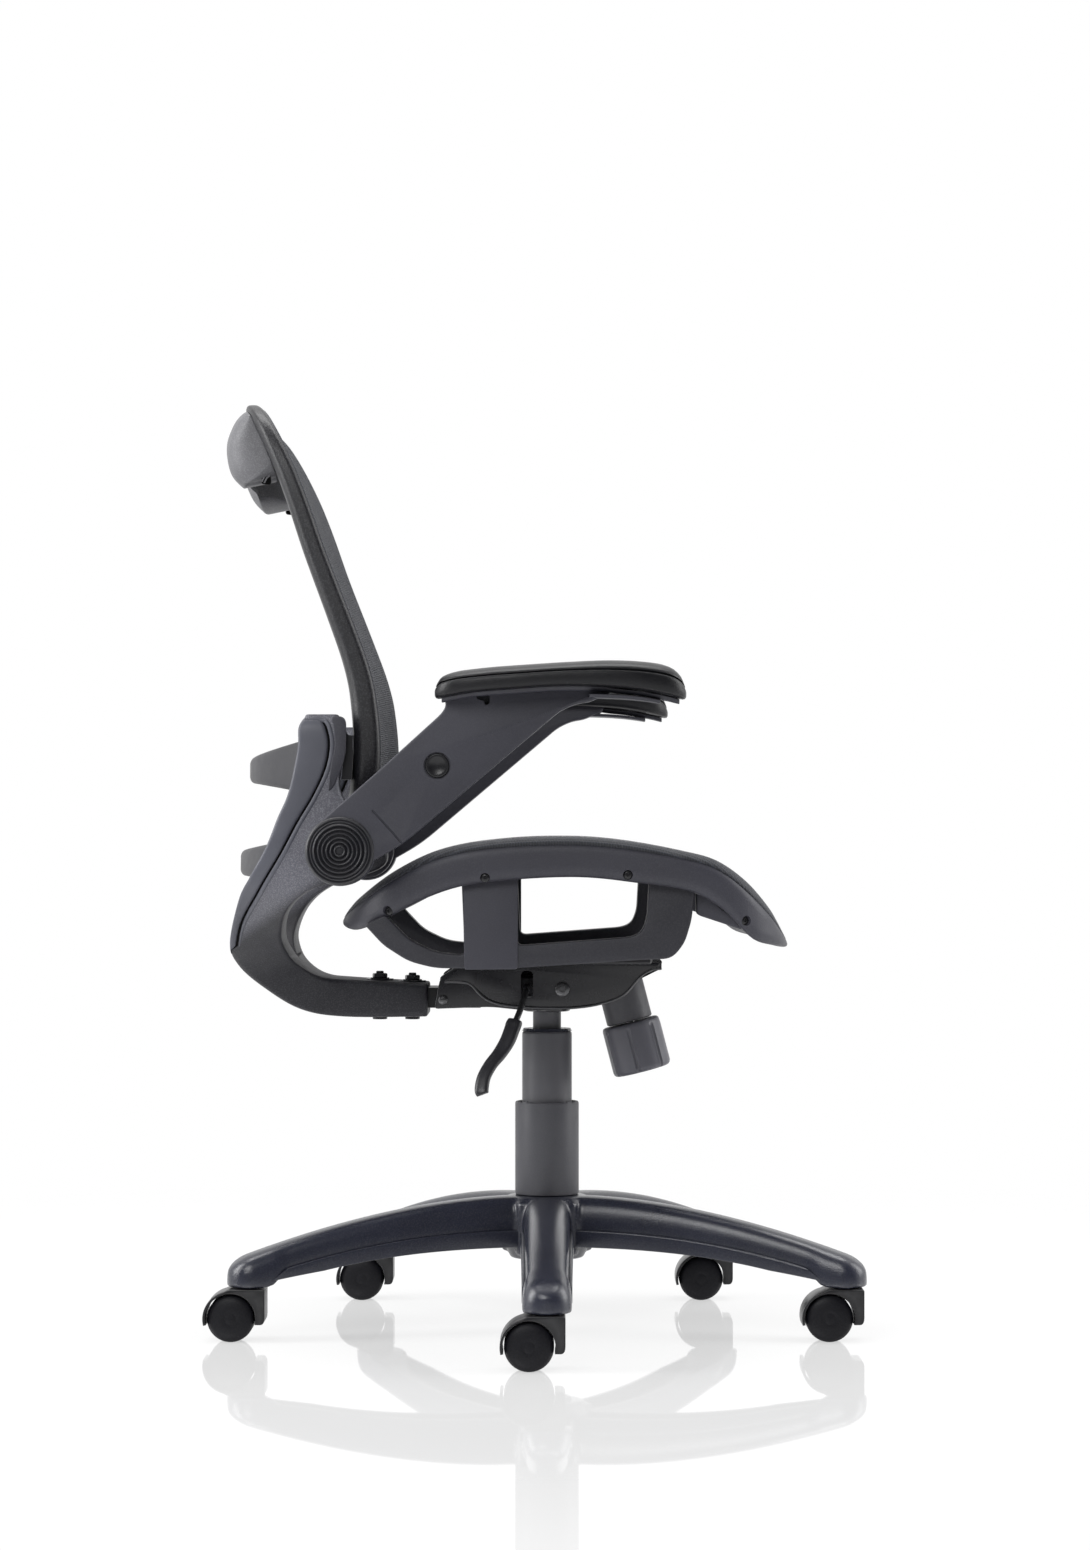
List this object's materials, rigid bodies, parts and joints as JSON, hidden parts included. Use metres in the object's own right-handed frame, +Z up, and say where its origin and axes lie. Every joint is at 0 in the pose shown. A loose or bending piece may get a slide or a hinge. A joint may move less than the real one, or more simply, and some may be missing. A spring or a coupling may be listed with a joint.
{
  "type": "mesh task chair",
  "caption": "Swivel task chair with an arched mesh seat, bowed mesh back, flip-up padded arms, gas lift, rocking tilt and a star base on twin-wheel casters.",
  "frame": {"origin": "on the floor, on the axis of the gas lift", "axes": "+Z up, +X to the front of the chair, -Y to the sitter's right"},
  "size_m": [0.6515, 0.642, 0.9085],
  "materials": {
    "nylon": "fine-grained moulded nylon",
    "shell": "speckled matt moulded shell",
    "cover": "smooth matt moulding",
    "steel": "black semi-gloss paint",
    "bright": "bright steel",
    "tube": "satin black tube",
    "wheel": "hard caster nylon",
    "mesh": "woven elastic mesh",
    "pad": "soft moulded skin"
  },
  "bodies": {
    "base": {"base_star": "nylon", "gas_tube": "tube", "guide_bush": "nylon", "column_shroud": "tube", "piston_rod": "bright", "retaining_clip": "bright"},
    "lift": {"gas_cylinder": "tube"},
    "release": {"release_pin": "bright"},
    "swivel": {"column_bracket": "steel", "tilt_pin": "steel"},
    "lever": {"lever_rod": "steel", "lever_paddle": "pad"},
    "tilt": {"tilt_housing": "steel", "rear_pin": "steel", "back_tongue": "steel", "tension_cup": "steel", "tension_spring": "bright", "tension_bolt": "bright", "seat_pan": "shell", "seat_bracket_right": "shell", "seat_bracket_left": "shell", "seat_frame": "shell", "seat_mesh": "mesh", "yoke": "shell", "rear_cover_right": "cover", "rear_cover_left": "cover", "lumbar_bar": "cover", "lower_crossbar": "cover", "back_frame": "shell", "back_mesh": "mesh", "top_grip": "cover", "back_mount_right": "steel", "back_mount_left": "steel", "yoke_bolt_1": "steel", "yoke_bolt_2": "steel", "pivot_bolt_right": "bright", "pivot_bolt_left": "bright"},
    "knob": {"tension_knob": "pad"},
    "arm_right": {"arm_right": "cover", "arm_pad_right": "pad", "pivot_cap_right": "cover"},
    "arm_left": {"arm_left": "cover", "arm_pad_left": "pad", "pivot_cap_left": "cover"},
    "caster_1": {"caster_hood_1": "nylon"},
    "wheel_1_right": {"caster_wheel_1_right": "wheel"},
    "wheel_1_left": {"caster_wheel_1_left": "wheel"},
    "caster_2": {"caster_hood_2": "nylon"},
    "wheel_2_right": {"caster_wheel_2_right": "wheel"},
    "wheel_2_left": {"caster_wheel_2_left": "wheel"},
    "caster_3": {"caster_hood_3": "nylon"},
    "wheel_3_right": {"caster_wheel_3_right": "wheel"},
    "wheel_3_left": {"caster_wheel_3_left": "wheel"},
    "caster_4": {"caster_hood_4": "nylon"},
    "wheel_4_right": {"caster_wheel_4_right": "wheel"},
    "wheel_4_left": {"caster_wheel_4_left": "wheel"},
    "caster_5": {"caster_hood_5": "nylon"},
    "wheel_5_right": {"caster_wheel_5_right": "wheel"},
    "wheel_5_left": {"caster_wheel_5_left": "wheel"}
  },
  "joints": [
    {"name": "gas_lift", "type": "slide", "parent": "base", "child": "lift", "axis": [0, 0, 1], "range_m": [-0.012, 0.09]},
    {"name": "seat_swivel", "type": "hinge", "parent": "lift", "child": "swivel", "pos_m": [0, 0, 0.3185], "axis": [0, 0, 1], "continuous": true},
    {"name": "release_press", "type": "slide", "parent": "lift", "child": "release", "axis": [0, 0, -1], "range_m": [0, 0.004]},
    {"name": "lift_lever", "type": "hinge", "parent": "swivel", "child": "lever", "pos_m": [-0.0196, -0.03, 0.3433], "axis": [-1, 0, 0], "range_deg": [0, 6], "stiffness_Nm_per_rad": 0.8, "springref_deg": -5.73},
    {"name": "seat_tilt", "type": "hinge", "parent": "swivel", "child": "tilt", "pos_m": [0.015, 0, 0.342], "axis": [0, -1, 0], "range_deg": [0, 12], "stiffness_Nm_per_rad": 70, "springref_deg": -17.19},
    {"name": "tension_turn", "type": "hinge", "parent": "tilt", "child": "knob", "pos_m": [0.083, 0, 0.306], "axis": [0.2521, 0, -0.9677], "range_deg": [-540, 540]},
    {"name": "arm_flip_right", "type": "hinge", "parent": "tilt", "child": "arm_right", "pos_m": [-0.1925, -0.25, 0.4777], "axis": [0, -1, 0], "range_deg": [0, 56]},
    {"name": "arm_flip_left", "type": "hinge", "parent": "tilt", "child": "arm_left", "pos_m": [-0.1925, 0.25, 0.4777], "axis": [0, -1, 0], "range_deg": [0, 56]},
    {"name": "caster_swivel_1", "type": "hinge", "parent": "base", "child": "caster_1", "pos_m": [0, -0.306, 0.0525], "axis": [0, 0, 1], "continuous": true},
    {"name": "wheel_spin_1_right", "type": "hinge", "parent": "caster_1", "child": "wheel_1_right", "pos_m": [-0.0165, -0.306, 0.02305], "axis": [0, 1, 0], "continuous": true},
    {"name": "wheel_spin_1_left", "type": "hinge", "parent": "caster_1", "child": "wheel_1_left", "pos_m": [-0.0165, -0.306, 0.02305], "axis": [0, 1, 0], "continuous": true},
    {"name": "caster_swivel_2", "type": "hinge", "parent": "base", "child": "caster_2", "pos_m": [0.29102, -0.09456, 0.0525], "axis": [0, 0, 1], "continuous": true},
    {"name": "wheel_spin_2_right", "type": "hinge", "parent": "caster_2", "child": "wheel_2_right", "pos_m": [0.27452, -0.09456, 0.02305], "axis": [0, 1, 0], "continuous": true},
    {"name": "wheel_spin_2_left", "type": "hinge", "parent": "caster_2", "child": "wheel_2_left", "pos_m": [0.27452, -0.09456, 0.02305], "axis": [0, 1, 0], "continuous": true},
    {"name": "caster_swivel_3", "type": "hinge", "parent": "base", "child": "caster_3", "pos_m": [0.17986, 0.24756, 0.0525], "axis": [0, 0, 1], "continuous": true},
    {"name": "wheel_spin_3_right", "type": "hinge", "parent": "caster_3", "child": "wheel_3_right", "pos_m": [0.16336, 0.24756, 0.02305], "axis": [0, 1, 0], "continuous": true},
    {"name": "wheel_spin_3_left", "type": "hinge", "parent": "caster_3", "child": "wheel_3_left", "pos_m": [0.16336, 0.24756, 0.02305], "axis": [0, 1, 0], "continuous": true},
    {"name": "caster_swivel_4", "type": "hinge", "parent": "base", "child": "caster_4", "pos_m": [-0.17986, 0.24756, 0.0525], "axis": [0, 0, 1], "continuous": true},
    {"name": "wheel_spin_4_right", "type": "hinge", "parent": "caster_4", "child": "wheel_4_right", "pos_m": [-0.19636, 0.24756, 0.02305], "axis": [0, 1, 0], "continuous": true},
    {"name": "wheel_spin_4_left", "type": "hinge", "parent": "caster_4", "child": "wheel_4_left", "pos_m": [-0.19636, 0.24756, 0.02305], "axis": [0, 1, 0], "continuous": true},
    {"name": "caster_swivel_5", "type": "hinge", "parent": "base", "child": "caster_5", "pos_m": [-0.29102, -0.09456, 0.0525], "axis": [0, 0, 1], "continuous": true},
    {"name": "wheel_spin_5_right", "type": "hinge", "parent": "caster_5", "child": "wheel_5_right", "pos_m": [-0.30752, -0.09456, 0.02305], "axis": [0, 1, 0], "continuous": true},
    {"name": "wheel_spin_5_left", "type": "hinge", "parent": "caster_5", "child": "wheel_5_left", "pos_m": [-0.30752, -0.09456, 0.02305], "axis": [0, 1, 0], "continuous": true}
  ],
  "couplings": [
    {"joint": "release_press", "follows": "lift_lever", "m_per_rad": 0.038}
  ]
}
